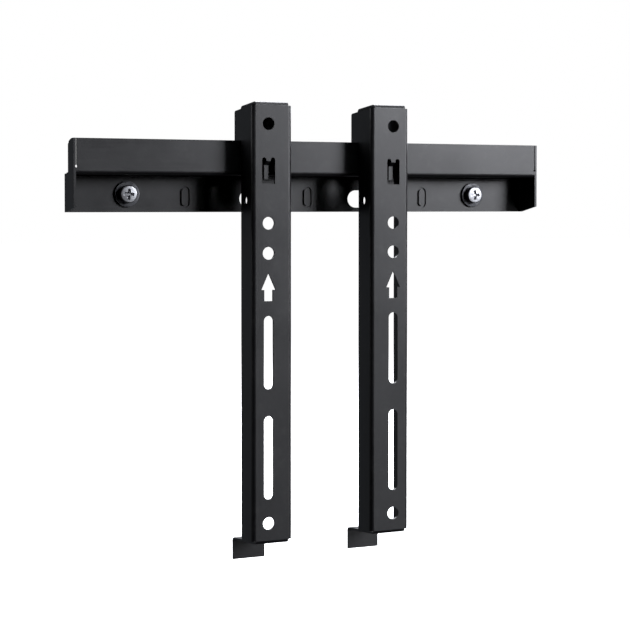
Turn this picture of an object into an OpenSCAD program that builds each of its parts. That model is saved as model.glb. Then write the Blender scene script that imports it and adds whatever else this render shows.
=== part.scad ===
// Low profile wall mount for a small flat screen: a folded wall rail, two
// brackets hung on its front lip, and the two screws that hold the rail.
// X runs along the rail, the wall is the plane Y = 0 and the front faces -Y.
// The origin lies on the wall, midway between the two wall screws.

/* [Sheet] */
// Thickness of the folded steel sheet
sheet_t = 1.2; // [0.8:0.1:1.6]
// Outer radius of the folds
fold_r = 2; // [1.8:0.1:2.6]

/* [Wall rail] */
// Length of the rail over its end flanges
rail_len = 262; // [240:1:340]
// Distance of the rail's front lip from the wall
rail_depth = 17; // [15:0.5:20]
// Height of the back plate up to the top of the shelf
plate_h = 19.6; // [18:0.2:22]
// Height of the whole rail
rail_h = 36.1; // [32:0.1:44]
// Height of the wall screws above the rail's lower edge
screw_h = 9; // [8:0.1:10]

/* [Rail ends] */
// Distance of the end flange from the wall above the shelf
end_step = 7.5; // [4:0.5:8]
// Radius of the long curve along the end flange's top
end_curve_r = 14; // [12:0.5:30]
// Radius of the end flange's upper back corner
end_corner_r = 1.2; // [0.6:0.1:2]
// Rise of the end flange's lower edge at the front
end_rise = 2.8; // [1:0.2:5]
// Width of the slit between the front lip and the end flange
slit_w = 0.45; // [0.3:0.05:1.2]
// Height of the closed corner below the slit
slit_foot = 4; // [2.5:0.1:6]
// Diameter of the relief hole at the end of the slit
relief_d = 1.3; // [1.1:0.1:2.6]

/* [Rail holes] */
// Distance of the wall screws from the rail's ends
screw_inset = 32; // [26:1:36]
// Diameter of the rail's holes for the wall screws
screw_hole_d = 6; // [5.6:0.1:7]
// Distance between the two spare wall slots
slot_spacing = 61.8; // [56:0.2:80]
// Length of a spare wall slot
wall_slot_len = 14.4; // [11:0.2:18]
// Height of a spare wall slot
wall_slot_w = 9.1; // [7:0.1:10]
// Height of the spare slots' middle above the rail's lower edge
wall_slot_h = 6.8; // [6:0.1:10]
// Distance between neighbouring raised pads
pad_spacing = 68.1; // [60:0.1:76]
// Width of a raised pad
pad_w = 5.5; // [4.5:0.1:6.5]
// Height of a raised pad
pad_len = 11; // [9:0.2:12]
// How far a pad stands out of the back plate
pad_rise = 0.3; // [0.1:0.1:0.6]
// Width of the groove around a pad
groove_w = 1.1; // [0.6:0.1:1.3]
// Depth of the groove around a pad
groove_depth = 0.7; // [0.3:0.1:0.7]
// Height of the pads' middle above the rail's lower edge
pad_h = 7.6; // [7:0.1:10]

/* [Brackets] */
// Distance of the brackets' front face from the wall
wall_gap = 32; // [29:0.5:38]
// Width of a bracket
bracket_w = 21.8; // [20:0.1:26]
// Distance between the two columns of holes
column_spacing = 70; // [40:1:140]
// Offset of a hole column from the middle of its bracket
column_offset = 2; // [0:0.1:3]
// Depth of the side flanges below the rail
flange_d = 14.4; // [13:0.1:15]
// Depth of the ears that rest on the rail
ear_d = 23.1; // [21:0.1:26]
// How far the flanges stop short of the top and the bottom
flange_inset = 1.8; // [1.6:0.1:3]
// Slope of the folded strips down towards the wall, in degrees
strip_slope = 5; // [0:0.5:7]
// Radius of the ears' upper back corner
ear_corner_r = 1; // [0.6:0.1:3]
// Width of the folded strips at the top and the bottom
strip_w = 17.6; // [14:0.1:17.8]
// Depth of the hook over the rail
hook_d = 20; // [18.5:0.1:22]
// How far the hook's lip reaches below the top of the rail
hook_drop = 10; // [6:0.5:13]
// Length of the foot below the bracket's lower end
foot_len = 12.8; // [8:0.2:20]

/* [Bracket holes] */
// Diameter of the screen's screw holes
hole_d = 6.4; // [4.5:0.1:8]
// Distance between the top and the bottom screw hole
hole_span = 200; // [190:1:240]
// Height of the top hole above the top of the rail
hole_rise = 8; // [6:0.1:12]
// Distance of the top hole from the upper end
top_margin = 11; // [8:0.1:14]
// Distance of the bottom hole from the lower end
bottom_margin = 10.4; // [8:0.1:14]
// Distance of the second hole below the top hole
second_hole_drop = 49.6; // [46:0.1:52]
// Distance between the second and the third hole
hole_pitch = 15; // [12:0.5:15]
// Distance of the flange holes below the top hole
lock_hole_drop = 38.2; // [34:0.1:44]
// Distance of the flange holes behind the front face
lock_hole_back = 8.9; // [6:0.1:11]
// Diameter of the flange holes
lock_hole_d = 4.4; // [3:0.1:5]

/* [Bracket slots] */
// Width of the long slots
slot_w = 5.2; // [4.5:0.1:6.5]
// Length of the upper slot
upper_slot_len = 36.8; // [20:0.2:40]
// Top of the upper slot below the top hole
upper_slot_drop = 95.9; // [94:0.1:98]
// Length of the lower slot
lower_slot_len = 41.9; // [20:0.1:43]
// Top of the lower slot below the top hole
lower_slot_drop = 146.1; // [144:0.1:147]

/* [Arrow] */
// Width of the arrow's head
arrow_w = 7.9; // [6:0.1:9]
// Height of the arrow's head
arrow_head = 8.6; // [6:0.1:9.5]
// Width of the arrow's shaft
arrow_shaft_w = 4.7; // [3:0.1:5]
// Length of the arrow's shaft
arrow_shaft = 5.6; // [3:0.1:6.5]
// Tip of the arrow below the top hole
arrow_drop = 74.3; // [72:0.1:76]

/* [Spring tab] */
// Width of the window around the tab
window_w = 7.1; // [6.4:0.1:8]
// Top of the window below the top hole
window_drop = 18; // [16:0.1:20]
// Height of the window
window_h = 11.9; // [10.5:0.1:14]
// Width of the tab
tab_w = 2.3; // [1.6:0.1:2.8]
// Length of the tab
tab_len = 9.6; // [7:0.1:10]
// How far the tab is set behind the front face
tab_set = 3; // [1:0.1:4]
// Height of the slanted stretch of the tab
tab_joggle = 2; // [1.2:0.1:3]

/* [Wall screws] */
// Diameter of a wall screw over its thread
screw_d = 5; // [4.4:0.1:5.2]
// Diameter of the plain neck under the screw head
neck_d = 4.2; // [3.4:0.1:4.2]
// Length of a wall screw under its head
screw_len = 45; // [30:1:60]
// Length of the screw's pointed end
screw_point = 6; // [3:0.5:9]
// Diameter of the screw head
head_d = 9; // [8:0.1:10.5]
// Height of the screw head
head_h = 3.2; // [2.4:0.1:4]
// Radius of the screw head's dome
head_dome_r = 11; // [5.8:0.1:12]
// Width of the arms of the cross recess
recess_w = 1.1; // [0.8:0.1:1.4]
// Length of the arms of the cross recess
recess_len = 4.8; // [3:0.1:5.4]
// Depth of the cross recess
recess_depth = 1.8; // [1:0.1:2.2]
// Diameter of a washer
washer_d = 13; // [11:0.1:15]
// Diameter of a washer's hole
washer_hole_d = 5.5; // [5.4:0.1:6]
// Thickness of a washer
washer_t = 1.2; // [0.8:0.1:1.6]

/* [Hidden] */
$fn = 48;
cut = 1;
coat = [0.13, 0.13, 0.14];
zinc = [0.72, 0.73, 0.74];

rail_bottom = -screw_h;
rail_top = rail_bottom + rail_h;
shelf_top = rail_bottom + plate_h;
shelf_under = shelf_top - sheet_t;
plate_front = -sheet_t;
lip_inner_x = rail_len / 2 - sheet_t - slit_w;
screw_spacing = rail_len - 2 * screw_inset;
slit_bottom = shelf_under + slit_foot;

top_hole_z = rail_top + hole_rise;
bottom_hole_z = top_hole_z - hole_span;
bracket_top = top_hole_z + top_margin;
bracket_bottom = bottom_hole_z - bottom_margin;
flange_top = bracket_top - flange_inset;
flange_bottom = bracket_bottom + flange_inset;
foot_bottom = bracket_bottom - foot_len;
bracket_x = column_spacing / 2 - column_offset;
window_top = top_hole_z - window_drop;
washer_front = plate_front - washer_t;
neck_len = sheet_t + washer_t;

// A fold's ring from the positive X direction through angle, up to 135 degrees
module fold(angle = 90) {
    reach = 2 * fold_r;
    intersection() {
        difference() {
            circle(r = fold_r);
            circle(r = fold_r - sheet_t);
        }
        polygon([
            [0, 0],
            [reach, 0],
            [reach, reach],
            [reach * cos(angle), reach * sin(angle)]
        ]);
    }
}

// A straight stretch of the sheet's section between two corner points
module stretch(from, to) {
    translate(from)
        square(to - from);
}

// Plan of a channel, open at the back, with its web along the X axis at Y = 0
module channel_plan(width, depth) {
    stretch([-width / 2 + fold_r, 0], [width / 2 - fold_r, sheet_t]);
    for (side = [-1, 1])
        scale([side, 1])
            translate([width / 2 - fold_r, fold_r]) {
                rotate(-90)
                    fold();
                stretch([fold_r - sheet_t, 0], [fold_r, depth - fold_r]);
            }
}

// An obround, upright, around the origin
module obround(width, length) {
    square([width, length - width], center = true);
    for (end = [-1, 1])
        translate([0, end * (length - width) / 2])
            circle(d = width);
}

// Extrude an outline drawn in X and Z from Y = 0 towards the front
module forward(depth) {
    rotate([90, 0, 0])
        linear_extrude(depth)
            children();
}

// Extrude a section drawn in Y and Z along X, centred
module along_rail(width) {
    rotate([90, 0, 90])
        linear_extrude(width, center = true)
            children();
}

// Section of the rail between its ends: back plate, shelf and front lip
module rail_section() {
    stretch([-sheet_t, rail_bottom], [0, shelf_top - fold_r]);
    translate([-fold_r, shelf_top - fold_r])
        fold();
    stretch([-rail_depth + fold_r, shelf_under], [-fold_r, shelf_top]);
    translate([-rail_depth + fold_r, shelf_under + fold_r])
        rotate(180)
            fold();
    stretch([-rail_depth, shelf_under + fold_r], [-rail_depth + sheet_t, rail_top]);
}

// A corner to take off, its tip at the origin, rounded by a circle of radius r
module corner(r) {
    difference() {
        translate([-r, -r])
            square(r + cut);
        translate([-r, -r])
            circle(r = r);
    }
}

// Outline of the end flanges seen from the side
module end_outline() {
    curve_back = -rail_depth + fold_r;
    curve_width = rail_depth - fold_r - end_step;
    corner_z = rail_top - end_curve_r + sqrt(pow(end_curve_r, 2) - pow(curve_width, 2));
    difference() {
        polygon([
            [0, rail_bottom],
            [0, shelf_top - fold_r],
            [-fold_r, shelf_top - sheet_t / 2],
            [-end_step, shelf_top - sheet_t / 2],
            [-end_step, rail_top],
            [-rail_depth, rail_top],
            [-rail_depth, rail_bottom + end_rise],
            [-fold_r, rail_bottom]
        ]);
        difference() {
            translate([curve_back, shelf_top])
                square([end_curve_r, rail_h]);
            translate([curve_back, rail_top - end_curve_r])
                circle(r = end_curve_r, $fn = 96);
            translate([curve_back, shelf_top])
                square([curve_width, corner_z - shelf_top - end_corner_r]);
        }
        translate([-end_step, corner_z])
            corner(end_corner_r);
    }
}

// The end flanges, folded forward from the ends of the back plate
module rail_ends() {
    intersection() {
        along_rail(rail_len)
            end_outline();
        translate([0, 0, rail_bottom])
            linear_extrude(rail_h)
                mirror([0, 1])
                    channel_plan(rail_len, rail_depth);
        union() {
            for (side = [-1, 1])
                translate([side * rail_len / 2, 0, rail_bottom + rail_h / 2])
                    cube([2 * fold_r, 2 * rail_depth + cut, rail_h], center = true);
        }
    }
}

// The slits and relief holes that part the front lip from the end flanges
module end_slits() {
    for (side = [-1, 1])
        translate([side * (lip_inner_x + slit_w / 2), -rail_depth + 1.5 * sheet_t, slit_bottom])
            forward(2 * sheet_t) {
                circle(d = relief_d);
                translate([-slit_w / 2, 0])
                    square([slit_w, rail_top - slit_bottom + cut]);
            }
}

// The obround places of the pads, grown by extra all round and pushed forward
module pads(extra, back, depth) {
    for (place = [-1:1])
        translate([place * pad_spacing, back, rail_bottom + pad_h])
            forward(depth)
                obround(pad_w + 2 * extra, pad_len + 2 * extra);
}

module wall_rail() {
    color(coat) {
        difference() {
            union() {
                along_rail(rail_len - 2 * fold_r)
                    stretch([-sheet_t, rail_bottom], [0, shelf_top - fold_r]);
                along_rail(rail_len - 2 * sheet_t)
                    difference() {
                        rail_section();
                        stretch([-sheet_t, rail_bottom], [0, shelf_top - fold_r]);
                    }
                rail_ends();
            }
            pads(0, plate_front + groove_depth, groove_depth + cut);
            end_slits();
            for (side = [-1, 1]) {
                translate([side * screw_spacing / 2, cut, 0])
                    forward(sheet_t + 2 * cut)
                        circle(d = screw_hole_d);
                translate([side * slot_spacing / 2, cut, rail_bottom + wall_slot_h])
                    forward(sheet_t + 2 * cut)
                        rotate(90)
                            obround(wall_slot_w, wall_slot_len);
            }
        }
        pads(-groove_w, plate_front + groove_depth, groove_depth + pad_rise);
    }
}

// Outline of a bracket's side flanges, with the ears over the rail's lip
module flange_outline() {
    front = -wall_gap;
    ear_back = front + ear_d;
    fall = tan(strip_slope);
    difference() {
        polygon([
            [front, flange_bottom],
            [front + flange_d, flange_bottom - flange_d * fall],
            [front + flange_d, rail_top],
            [ear_back, rail_top],
            [ear_back, flange_top - ear_d * fall],
            [front, flange_top]
        ]);
        translate([ear_back, flange_top - ear_d * fall])
            corner(ear_corner_r);
    }
}

// Section of the strip down a bracket's middle: hook, front face and foot
module strip_section() {
    front = -wall_gap;
    fall = strip_slope;
    hook_run = (hook_d - 2 * fold_r) / cos(fall);
    offset_in = 2 * fold_r - sheet_t;
    foot_run = (wall_gap - 2 * fold_r + offset_in * sin(fall)) / cos(fall);
    hook_z = bracket_top - fold_r - (hook_d - 2 * fold_r) * tan(fall);
    foot_z = bracket_bottom + fold_r - offset_in * cos(fall) - foot_run * sin(fall);
    stretch([front, bracket_bottom + fold_r], [front + sheet_t, bracket_top - fold_r]);
    translate([front + fold_r, bracket_top - fold_r])
        rotate(-fall) {
            rotate(90)
                fold(90 + fall);
            stretch([0, fold_r - sheet_t], [hook_run, fold_r]);
            translate([hook_run, 0])
                rotate(fall) {
                    fold(90 - fall);
                    stretch([fold_r - sheet_t, rail_top - hook_drop - hook_z], [fold_r, 0]);
                }
        }
    translate([front + fold_r, bracket_bottom + fold_r])
        rotate(-fall) {
            rotate(180 + fall)
                fold(90 - fall);
            stretch([0, -fold_r], [foot_run, sheet_t - fold_r]);
            translate([foot_run, -offset_in])
                rotate(fall) {
                    fold(90 - fall);
                    stretch([fold_r - sheet_t, foot_bottom - foot_z], [fold_r, 0]);
                }
        }
}

// The window around the tab, with a relief on each side of the tab's root
module window_outline() {
    translate([-window_w / 2, window_top - window_h])
        square([window_w, window_h]);
    relief = (window_w - tab_w) / 2;
    for (side = [-1, 1])
        translate([side * (tab_w + relief) / 2, window_top])
            circle(d = relief);
}

// Section of the tab, set back from the front face by a short slant
module tab_section() {
    front = -wall_gap;
    polygon([
        [front, window_top],
        [front + sheet_t, window_top],
        [front + tab_set + sheet_t, window_top - tab_joggle],
        [front + tab_set + sheet_t, window_top - tab_len],
        [front + tab_set, window_top - tab_len],
        [front + tab_set, window_top - tab_joggle - sheet_t / 2],
        [front, window_top - sheet_t / 2]
    ]);
}

// The arrow that points up
module arrow_outline() {
    tip = top_hole_z - arrow_drop;
    polygon([
        [0, tip],
        [arrow_w / 2, tip - arrow_head],
        [arrow_shaft_w / 2, tip - arrow_head],
        [arrow_shaft_w / 2, tip - arrow_head - arrow_shaft],
        [-arrow_shaft_w / 2, tip - arrow_head - arrow_shaft],
        [-arrow_shaft_w / 2, tip - arrow_head],
        [-arrow_w / 2, tip - arrow_head]
    ]);
}

// All openings of a bracket's front face, on the line of the hole column
module face_openings() {
    for (drop = [0, second_hole_drop, second_hole_drop + hole_pitch, hole_span])
        translate([0, top_hole_z - drop])
            circle(d = hole_d);
    translate([0, top_hole_z - upper_slot_drop - upper_slot_len / 2])
        obround(slot_w, upper_slot_len);
    translate([0, top_hole_z - lower_slot_drop - lower_slot_len / 2])
        obround(slot_w, lower_slot_len);
    arrow_outline();
    window_outline();
}

// One bracket around X = 0; the column lies towards side, -1 left or 1 right
module bracket(side) {
    difference() {
        union() {
            intersection() {
                along_rail(bracket_w)
                    flange_outline();
                translate([0, -wall_gap, bracket_bottom])
                    linear_extrude(bracket_top - bracket_bottom)
                        channel_plan(bracket_w, ear_d);
            }
            along_rail(strip_w)
                strip_section();
        }
        translate([side * column_offset, -wall_gap + sheet_t + cut / 2, 0])
            forward(sheet_t + cut)
                face_openings();
        translate([0, -wall_gap + lock_hole_back, top_hole_z - lock_hole_drop])
            rotate([0, 90, 0])
                cylinder(d = lock_hole_d, h = bracket_w + cut, center = true);
    }
    translate([side * column_offset, 0, 0])
        along_rail(tab_w)
            tab_section();
}

module left_bracket() {
    color(coat)
        translate([-bracket_x, 0, 0])
            bracket(-1);
}

module right_bracket() {
    color(coat)
        translate([bracket_x, 0, 0])
            bracket(1);
}

// A washer around a wall screw, flat on the back plate
module washer(side) {
    color(zinc)
        translate([side * screw_spacing / 2, plate_front, 0])
            forward(washer_t)
                difference() {
                    circle(d = washer_d);
                    circle(d = washer_hole_d);
                }
}

module left_washer() {
    washer(-1);
}

module right_washer() {
    washer(1);
}

// A pan head wall screw with a cross recess, its head flat on the washer
module wall_screw(side) {
    color(zinc)
        translate([side * screw_spacing / 2, washer_front, 0])
            rotate([90, 0, 0]) {
                difference() {
                    intersection() {
                        cylinder(d = head_d, h = head_h);
                        translate([0, 0, head_h - head_dome_r])
                            sphere(r = head_dome_r);
                    }
                    for (turn = [0, 90])
                        rotate(turn)
                            translate([0, 0, head_h])
                                cube([recess_len, recess_w, 2 * recess_depth], center = true);
                }
                translate([0, 0, -neck_len])
                    cylinder(d = neck_d, h = neck_len);
                translate([0, 0, -screw_len + screw_point])
                    cylinder(d = screw_d, h = screw_len - screw_point - neck_len);
                translate([0, 0, -screw_len])
                    cylinder(d1 = 0, d2 = screw_d, h = screw_point);
            }
}

module left_wall_screw() {
    wall_screw(-1);
}

module right_wall_screw() {
    wall_screw(1);
}

wall_rail();
left_bracket();
right_bracket();
left_washer();
right_washer();
left_wall_screw();
right_wall_screw();
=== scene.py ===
import math

import bmesh
import bpy
import numpy as np
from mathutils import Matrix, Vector


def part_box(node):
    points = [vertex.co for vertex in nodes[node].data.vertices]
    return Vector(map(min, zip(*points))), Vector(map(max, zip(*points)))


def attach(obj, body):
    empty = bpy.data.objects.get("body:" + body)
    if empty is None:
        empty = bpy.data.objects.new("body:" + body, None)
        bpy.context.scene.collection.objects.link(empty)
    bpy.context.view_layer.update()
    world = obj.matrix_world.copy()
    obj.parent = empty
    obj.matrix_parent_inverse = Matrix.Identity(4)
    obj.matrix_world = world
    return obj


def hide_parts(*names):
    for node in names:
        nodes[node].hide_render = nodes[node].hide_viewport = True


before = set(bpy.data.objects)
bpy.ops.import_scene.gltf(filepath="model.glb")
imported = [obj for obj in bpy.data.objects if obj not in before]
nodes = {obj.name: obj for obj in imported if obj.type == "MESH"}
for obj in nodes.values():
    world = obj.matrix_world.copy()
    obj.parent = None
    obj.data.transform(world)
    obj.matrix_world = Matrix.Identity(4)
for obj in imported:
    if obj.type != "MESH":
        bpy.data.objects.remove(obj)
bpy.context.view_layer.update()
print("loaded", len(nodes), "nodes")

scene = bpy.context.scene
mm = 0.001
fullTurn = 2 * math.pi
quarter = math.pi / 2


def addMesh(name, points, faces, material, smooth=True):
    # plain mesh object from a point array and a list of corner tuples
    mesh = bpy.data.meshes.new(name)
    mesh.from_pydata(points.tolist(), [], [tuple(int(c) for c in f) for f in faces])
    mesh.validate()
    mesh.polygons.foreach_set("use_smooth", np.full(len(mesh.polygons), smooth))
    mesh.update()
    mesh.materials.append(material)
    piece = bpy.data.objects.new(name, mesh)
    scene.collection.objects.link(piece)
    return piece


def ringFaces(rings, around, closedPath=False):
    # quads between neighbouring rings of points; each ring is closed, the row of rings only if asked
    i = np.arange(rings if closedPath else rings - 1)[:, None]
    j = np.arange(around)[None, :]
    here = i * around
    beyond = (i + 1) % rings * around
    nextSpot = (j + 1) % around
    corners = [here + j, here + nextSpot, beyond + nextSpot, beyond + j]
    return np.stack([corner.ravel() for corner in corners], axis=1)


def smoothStep(low, high, value):
    # 0 below low, 1 above high, and three squares less two cubes of the share in between
    t = np.clip((value - low) / (high - low), 0.0, 1.0)
    return t * t * (3.0 - 2.0 * t)


coatLook = {
    "color": (0.008, 0.008, 0.009, 1.0),
    "dustColor": (0.016, 0.016, 0.0165, 1.0),
    "dustSize": 5 * mm,
    "dustBand": (0.52, 0.80),    # noise values at which dust begins and is full
    "specular": 0.5,
    "roughLow": 0.33,
    "roughHigh": 0.41,
    "cloudSize": 26 * mm,
    "streakSize": 0.40 * mm,
    "streakRough": 0.022,
    "peelSize": 0.9 * mm,
    "peelDepth": 0.010 * mm,
    "grainSize": 0.22 * mm,
    "grainDepth": 0.004 * mm,
}

zincLook = {
    "color": (0.38, 0.385, 0.40, 1.0),
    "shadeColor": (0.30, 0.305, 0.32, 1.0),
    "roughLow": 0.31,
    "roughHigh": 0.38,
    "scratchDepth": 0.0015 * mm,
}

# painted shade: the washers get a far darker copy of the screw heads' zinc, standing in for the shade
# they sit in
shadedZincLook = {
    "color": (0.085, 0.086, 0.090, 1.0),
    "shadeColor": (0.050, 0.051, 0.055, 1.0),
    "roughLow": 0.34,
    "roughHigh": 0.48,
    "scratchDepth": 0.003 * mm,
}

platePattern = {
    "cloudSize": 1.6 * mm,
    "scratchSize": 0.25 * mm,
    "scratchStretch": (0.3, 3.0, 1.0),
}


def newMaterial(name):
    # a material with nodes, and its shader
    material = bpy.data.materials.new(name)
    material.use_nodes = True
    return material, material.node_tree.nodes["Principled BSDF"]


def objectSpace(tree):
    return tree.nodes.new("ShaderNodeTexCoord").outputs["Object"]


def noise(tree, coords, size, detail, stretch=(1.0, 1.0, 1.0)):
    # soft blotches about as large as size; a stretch below 1 draws them out along that axis
    mapping = tree.nodes.new("ShaderNodeMapping")
    mapping.inputs["Scale"].default_value = stretch
    tree.links.new(coords, mapping.inputs["Vector"])
    node = tree.nodes.new("ShaderNodeTexNoise")
    node.inputs["Scale"].default_value = 1.0 / size
    node.inputs["Detail"].default_value = detail
    tree.links.new(mapping.outputs["Vector"], node.inputs["Vector"])
    return node.outputs["Fac"]


def spread(tree, value, low, high, fromLow=0.35, fromHigh=0.65):
    # a noise stays mostly between 0.35 and 0.65, so that band is spread from low to high
    node = tree.nodes.new("ShaderNodeMapRange")
    node.inputs["From Min"].default_value = fromLow
    node.inputs["From Max"].default_value = fromHigh
    node.inputs["To Min"].default_value = low
    node.inputs["To Max"].default_value = high
    tree.links.new(value, node.inputs["Value"])
    return node.outputs["Result"]


def blendColors(tree, value, first, second):
    node = tree.nodes.new("ShaderNodeMix")
    node.data_type = "RGBA"
    node.inputs["A"].default_value = first
    node.inputs["B"].default_value = second
    tree.links.new(value, node.inputs["Factor"])
    return node.outputs["Result"]


def bump(tree, height, depth, under=None):
    node = tree.nodes.new("ShaderNodeBump")
    node.inputs["Strength"].default_value = 1.0
    node.inputs["Distance"].default_value = depth
    tree.links.new(height, node.inputs["Height"])
    if under is not None:
        tree.links.new(under, node.inputs["Normal"])
    return node.outputs["Normal"]


def makeCoat(name, streakStretch):
    # satin black coat: soft orange peel, fine grain, a little dust in the colour, and faint streaks
    # in the gloss that follow the length of the sheet
    look = coatLook
    material, shader = newMaterial(name)
    tree = material.node_tree
    link = tree.links.new
    coords = objectSpace(tree)
    cloud = noise(tree, coords, look["cloudSize"], detail=3.0)
    streak = noise(tree, coords, look["streakSize"], detail=2.0, stretch=streakStretch)
    peel = noise(tree, coords, look["peelSize"], detail=1.0)
    grain = noise(tree, coords, look["grainSize"], detail=1.0)
    dust = spread(tree, noise(tree, coords, look["dustSize"], detail=6.0), 0.0, 1.0, *look["dustBand"])
    link(blendColors(tree, dust, look["color"], look["dustColor"]), shader.inputs["Base Color"])

    rough = tree.nodes.new("ShaderNodeMath")
    rough.operation = "ADD"
    link(spread(tree, cloud, look["roughLow"], look["roughHigh"]), rough.inputs[0])
    link(spread(tree, streak, -look["streakRough"], look["streakRough"]), rough.inputs[1])
    link(rough.outputs[0], shader.inputs["Roughness"])

    soft = bump(tree, peel, look["peelDepth"])
    link(bump(tree, grain, look["grainDepth"], under=soft), shader.inputs["Normal"])
    shader.inputs["Specular IOR Level"].default_value = look["specular"]
    return material


def makeZinc(name, look):
    # zinc plate: cloudy tone and gloss, fine scratches
    material, shader = newMaterial(name)
    tree = material.node_tree
    link = tree.links.new
    coords = objectSpace(tree)
    pattern = platePattern
    cloud = noise(tree, coords, pattern["cloudSize"], detail=3.0)
    stretch = pattern["scratchStretch"]
    scratch = noise(tree, coords, pattern["scratchSize"], detail=2.0, stretch=stretch)
    shade = spread(tree, cloud, 0.0, 1.0)
    link(blendColors(tree, shade, look["color"], look["shadeColor"]), shader.inputs["Base Color"])
    link(spread(tree, cloud, look["roughLow"], look["roughHigh"]), shader.inputs["Roughness"])
    link(bump(tree, scratch, look["scratchDepth"]), shader.inputs["Normal"])
    shader.inputs["Metallic"].default_value = 1.0
    return material


railCoat = makeCoat("railCoat", (0.02, 1.0, 1.0))          # streaks run along the rail
bracketCoat = makeCoat("bracketCoat", (1.0, 1.0, 0.02))    # streaks run down the bracket
zinc = makeZinc("brightZinc", zincLook)
# the second zinc is the washers' darker copy, painted shade
shadedZinc = makeZinc("shadedZinc", shadedZincLook)
print("materials made")


screwPlan = {
    "around": 144,
    "headRadius": 4.5 * mm,
    "headHeight": 3.2 * mm,
    "rimRadius": 0.75 * mm,
    "rimSteps": 24,
    "seatEdge": 0.18 * mm,       # round edge where the head meets the washer
    "seatEdgeSteps": 9,
    "domeHeight": 0.16 * mm,
    "faceRings": 40,
    "fineShare": 0.60,           # fine rings reach out to this share of the cross's length
    "fineRings": 70,
    "crossWidth": 1.3 * mm,
    "crossLength": 5.5 * mm,
    "crossDepth": 1.9 * mm,
    "sideInside": 0.14 * mm,     # the cross's sides slope from this far inside its width
    "sideOutside": 0.056 * mm,   # to this far outside it
    "endSlope": 0.75 * mm,
    "turn": {"left_wall_screw": 4.0, "right_wall_screw": -3.0},    # degrees
    "neckRadius": 2.05 * mm,
    "neckStart": -0.4 * mm,
    "neckFillet": 0.12 * mm,
    "shankRings": 230,
    "threadRadius": 2.5 * mm,
    "rootRadius": 1.75 * mm,
    "threadPitch": 2.2 * mm,
    "ridgeShare": 0.26,          # half the ridge's foot, as a share of the pitch
    "fadeLength": 2.0 * mm,
    "pointLength": 6.0 * mm,
    "rootPower": 0.75,
    "crestPower": 0.9,
}

washerPlan = {
    "around": 128,
    "holeRadius": 2.75 * mm,
    "edgeRadius": 0.22 * mm,
    "edgeSteps": 6,
}


def turnAround(node, radius, height, angle):
    # each radius and height of a profile becomes a ring of points round the node's own axis
    low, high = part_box(node)
    x = (low.x + high.x) / 2 + radius * np.cos(angle)
    z = (low.z + high.z) / 2 + radius * np.sin(angle)
    return np.stack([x, np.broadcast_to(height, x.shape), z], axis=2).reshape(-1, 3)


def threadedShank(tipY, angle):
    # from the tip to the wall: the root is a cylinder whose point narrows with a power of the
    # distance to the tip; the thread adds a ridge of triangular section where
    # height / pitch - angle / full turn is near a half, and fades out into the neck
    plan = screwPlan
    height = np.linspace(tipY, 0.0, plan["shankRings"])[:, None]
    taper = np.clip((tipY - height) / plan["pointLength"], 0.0, 1.0)
    phase = (height / plan["threadPitch"] - angle / fullTurn) % 1.0
    ridge = np.clip(1.0 - np.abs(phase - 0.5) / plan["ridgeShare"], 0.0, 1.0)
    fade = smoothStep(0.0, plan["fadeLength"], height)
    root = plan["rootRadius"] * taper ** plan["rootPower"]
    crest = (plan["threadRadius"] * taper ** plan["crestPower"] - root) * fade
    core = root + (plan["neckRadius"] - plan["rootRadius"]) * (1 - fade)
    radius = core + crest * ridge
    return radius, np.broadcast_to(height, radius.shape)


def headProfile(seatY):
    # from the neck outwards: a fillet, the flat seat, a quarter round edge, a quarter round rim, and
    # a face that falls off with the square of its radius; also gives the height where the rim starts
    plan = screwPlan
    neck, head = plan["neckRadius"], plan["headRadius"]
    fillet, edge, rim = plan["neckFillet"], plan["seatEdge"], plan["rimRadius"]
    topY = seatY - plan["headHeight"]
    faceRadius = head - rim
    shoulder = topY + plan["domeHeight"] + rim

    around = np.linspace(0, quarter, plan["seatEdgeSteps"])
    lowR = np.r_[neck, neck, neck + fillet, head - edge + edge * np.sin(around)]
    lowY = np.r_[plan["neckStart"], seatY + fillet, seatY, seatY - edge + edge * np.cos(around)]

    around = np.linspace(0, quarter, plan["rimSteps"])
    share = np.linspace(1.0, 0.0, plan["faceRings"])[1:]
    faceR = np.r_[faceRadius + rim * np.cos(around), faceRadius * share]
    faceY = np.r_[shoulder - rim * np.sin(around), topY + plan["domeHeight"] * share ** 2]

    fineRadius = plan["crossLength"] * plan["fineShare"]
    fine = np.linspace(fineRadius, 0.0, plan["fineRings"])
    fineY = np.interp(fine, faceR[::-1], faceY[::-1])
    coarse = faceR > fineRadius
    radius = np.r_[lowR, faceR[coarse], fine]
    height = np.r_[lowY, faceY[coarse], fineY]
    return radius, height, shoulder


def crossShape(flatX, flatZ):
    # 1 inside either of two crossed bars and 0 outside, with a smooth step at their sides and ends
    plan = screwPlan
    reach, half = plan["crossLength"] / 2, plan["crossWidth"] / 2
    inside, outside = half - plan["sideInside"], half + plan["sideOutside"]

    def bar(along, across):
        side = 1.0 - smoothStep(inside, outside, np.abs(across))
        end = 1.0 - smoothStep(reach - plan["endSlope"], reach, np.abs(along))
        return side * end

    return np.maximum(bar(flatX, flatZ), bar(flatZ, flatX))


def screwSurface(node):
    # one profile from the tip to the middle of the head, turned round the axis; the cross then
    # moves the points of the rim and the face inwards, by its shape times its depth
    plan = screwPlan
    low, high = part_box(node)
    angle = np.arange(plan["around"]) * fullTurn / plan["around"]
    shankR, shankY = threadedShank(high.y, angle)
    headR, headY, shoulder = headProfile(low.y + plan["headHeight"])
    radius = np.vstack([shankR, np.repeat(headR[:, None], len(angle), axis=1)])
    height = np.vstack([shankY, np.repeat(headY[:, None], len(angle), axis=1)])

    turned = angle + math.radians(plan["turn"][node])
    cross = crossShape(radius * np.cos(turned), radius * np.sin(turned))
    height = height + cross * (height <= shoulder) * plan["crossDepth"]
    return turnAround(node, radius, height, angle), ringFaces(len(radius), len(angle))


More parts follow.
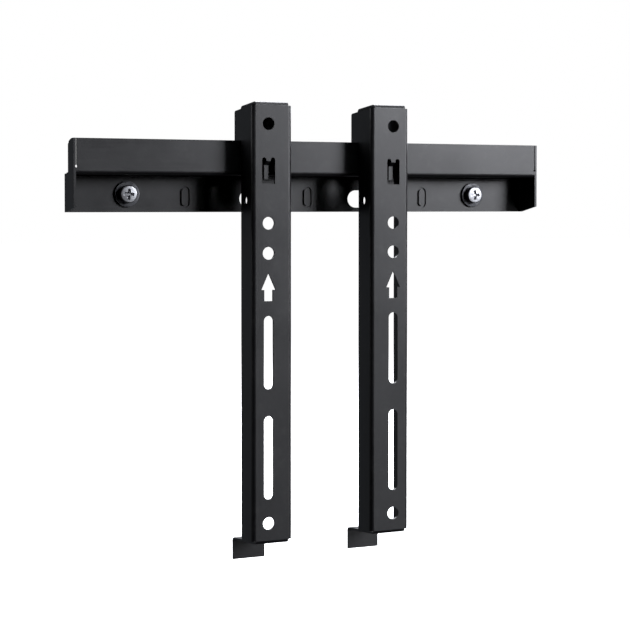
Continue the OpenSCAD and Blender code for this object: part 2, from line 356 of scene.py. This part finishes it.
def washerSurface(node):
    # a rectangle of radius and height, its corners quarter circles, turned round the axis
    plan = washerPlan
    low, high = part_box(node)
    outer, inner, r = (high.x - low.x) / 2, plan["holeRadius"], plan["edgeRadius"]
    corners = [
        (outer - r, high.y - r, 0.0),
        (inner + r, high.y - r, quarter),
        (inner + r, low.y + r, 2 * quarter),
        (outer - r, low.y + r, 3 * quarter),
    ]
    bend = np.linspace(0, quarter, plan["edgeSteps"])
    radius = np.concatenate([across + r * np.cos(bend + start) for across, along, start in corners])
    height = np.concatenate([along + r * np.sin(bend + start) for across, along, start in corners])
    angle = np.arange(plan["around"]) * fullTurn / plan["around"]
    points = turnAround(node, radius[:, None], height[:, None], angle)
    return points, ringFaces(len(radius), len(angle), closedPath=True)


def closeAndFace(piece):
    # merge the poles, drop empty faces and turn every face outwards
    mergeGap, emptyGap = 0.0001 * mm, 0.00001 * mm
    work = bmesh.new()
    work.from_mesh(piece.data)
    bmesh.ops.remove_doubles(work, verts=work.verts, dist=mergeGap)
    bmesh.ops.dissolve_degenerate(work, edges=work.edges, dist=emptyGap)
    bmesh.ops.recalc_face_normals(work, faces=work.faces)
    work.to_mesh(piece.data)
    work.free()


def addFastener(name, node, surface, material):
    # a finer surface that stands for the node
    points, faces = surface(node)
    piece = addMesh(name, points, faces, material)
    closeAndFace(piece)
    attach(piece, "root")
    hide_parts(node)


for side in ("left", "right"):
    addFastener(side + "WallScrew", side + "_wall_screw", screwSurface, zinc)
    # the washers take the darker zinc, which paints in their shade
    addFastener(side + "Washer", side + "_washer", washerSurface, shadedZinc)
print("screws and washers made")


sheetCoats = {"wall_rail": railCoat, "left_bracket": bracketCoat, "right_bracket": bracketCoat}
for name, coat in sheetCoats.items():
    sheet = nodes[name]
    sheet.data.materials.clear()
    sheet.data.materials.append(coat)
print("folded sheets coated")


# lengths in metres, angles in degrees, power in watts
studio = {
    "tint": (0.93, 0.945, 1.0),
    "aim": (0.0, -0.02, -0.06),
    "panels": {
        "keyLight": dict(azimuth=40.0, elevation=17.0, distance=1.9, size=0.72, power=36.5),
        "lowLight": dict(azimuth=30.0, elevation=-14.0, distance=1.9, size=0.5, power=1.6),
        "topLight": dict(azimuth=25.0, elevation=66.0, distance=1.7, size=1.0, power=12.0),
        "rightLight": dict(azimuth=112.0, elevation=20.0, distance=1.9, size=1.1, power=30.0),
        "leftLight": dict(azimuth=-108.0, elevation=20.0, distance=1.9, size=0.9, power=7.0),
        "backLight": dict(azimuth=162.0, elevation=40.0, distance=2.0, size=1.3, power=45.0),
    },
    "floorHeight": -0.30,
    "floorReach": 12.0,
    "floorTone": 0.86,
    "floorRough": 0.8,
    "floorGlow": 1.0,
    "airTint": (0.84, 0.90, 1.0),
    "airGlow": 0.10,
    "airFull": 0.7,    # the glow is full where the direction's part towards the wall is this large
}


def directionOf(azimuth, elevation):
    # unit vector towards the front, turned to the right by azimuth and up by elevation
    a, e = math.radians(azimuth), math.radians(elevation)
    return Vector((math.sin(a) * math.cos(e), -math.cos(a) * math.cos(e), math.sin(e)))


def addPanel(name, azimuth, elevation, distance, size, power):
    # square area light, turned to the middle of the mount
    data = bpy.data.lights.new(name, "AREA")
    data.size = size
    data.energy = power
    data.color = studio["tint"]
    lamp = bpy.data.objects.new(name, data)
    scene.collection.objects.link(lamp)
    away = directionOf(azimuth, elevation)
    lamp.location = Vector(studio["aim"]) + away * distance
    lamp.rotation_mode = "QUATERNION"
    lamp.rotation_quaternion = (-away).to_track_quat("-Z", "Y")


def makeFloor():
    # large pale square below the mount; it neither lights the mount nor mirrors in it
    reach, level = studio["floorReach"], studio["floorHeight"]
    points = np.array([
        (-reach, -reach, level),
        (reach, -reach, level),
        (reach, reach, level),
        (-reach, reach, level),
    ])
    tone = studio["floorTone"]
    material, shader = newMaterial("paleFloor")
    shader.inputs["Base Color"].default_value = (tone, tone, tone, 1)
    shader.inputs["Roughness"].default_value = studio["floorRough"]
    shader.inputs["Emission Color"].default_value = (1, 1, 1, 1)
    shader.inputs["Emission Strength"].default_value = studio["floorGlow"]
    floor = addMesh("floor", points, [(0, 1, 2, 3)], material, smooth=False)
    floor.visible_diffuse = False
    floor.visible_glossy = False


def makeWorld():
    # white to the eye; as a light, a dim glow from behind the mount only
    world = bpy.data.worlds.new("studioAir")
    scene.world = world
    world.use_nodes = True
    tree = world.node_tree
    tree.nodes.clear()
    link = tree.links.new

    coords = tree.nodes.new("ShaderNodeTexCoord")
    split = tree.nodes.new("ShaderNodeSeparateXYZ")
    behind = tree.nodes.new("ShaderNodeMapRange")
    behind.interpolation_type = "SMOOTHSTEP"
    behind.inputs["From Max"].default_value = studio["airFull"]
    behind.inputs["To Max"].default_value = studio["airGlow"]
    glow = tree.nodes.new("ShaderNodeBackground")
    glow.inputs["Color"].default_value = (*studio["airTint"], 1)
    white = tree.nodes.new("ShaderNodeBackground")
    white.inputs["Color"].default_value = (1, 1, 1, 1)
    path = tree.nodes.new("ShaderNodeLightPath")
    mix = tree.nodes.new("ShaderNodeMixShader")
    sky = tree.nodes.new("ShaderNodeOutputWorld")

    link(coords.outputs["Generated"], split.inputs[0])
    link(split.outputs["Y"], behind.inputs["Value"])
    link(behind.outputs["Result"], glow.inputs["Strength"])
    link(path.outputs["Is Camera Ray"], mix.inputs[0])
    link(glow.outputs[0], mix.inputs[1])
    link(white.outputs[0], mix.inputs[2])
    link(mix.outputs[0], sky.inputs[0])


makeFloor()
makeWorld()
for name, panel in studio["panels"].items():
    addPanel(name, **panel)
print("studio lit")


# the photograph's camera, solved from the mount's straight edges; the turn is in degrees
view = {
    "place": (-373.4 * mm, -817.3 * mm, -5.58 * mm),
    "turn": (88.50, 0.0, -24.86),
    "lens": 97.95,
    "sensor": 36.0,
    "shiftY": -0.1028,
    "clipStart": 0.05,
    "clipEnd": 60.0,
}

optics = bpy.data.cameras.new("camera")
optics.sensor_width = view["sensor"]
optics.lens = view["lens"]
optics.shift_y = view["shiftY"]
optics.clip_start = view["clipStart"]
optics.clip_end = view["clipEnd"]
camera = bpy.data.objects.new("camera", optics)
scene.collection.objects.link(camera)
camera.location = view["place"]
camera.rotation_euler = [math.radians(a) for a in view["turn"]]
scene.camera = camera
scene.view_settings.view_transform = "Standard"
scene.view_settings.look = "None"
print("camera placed")
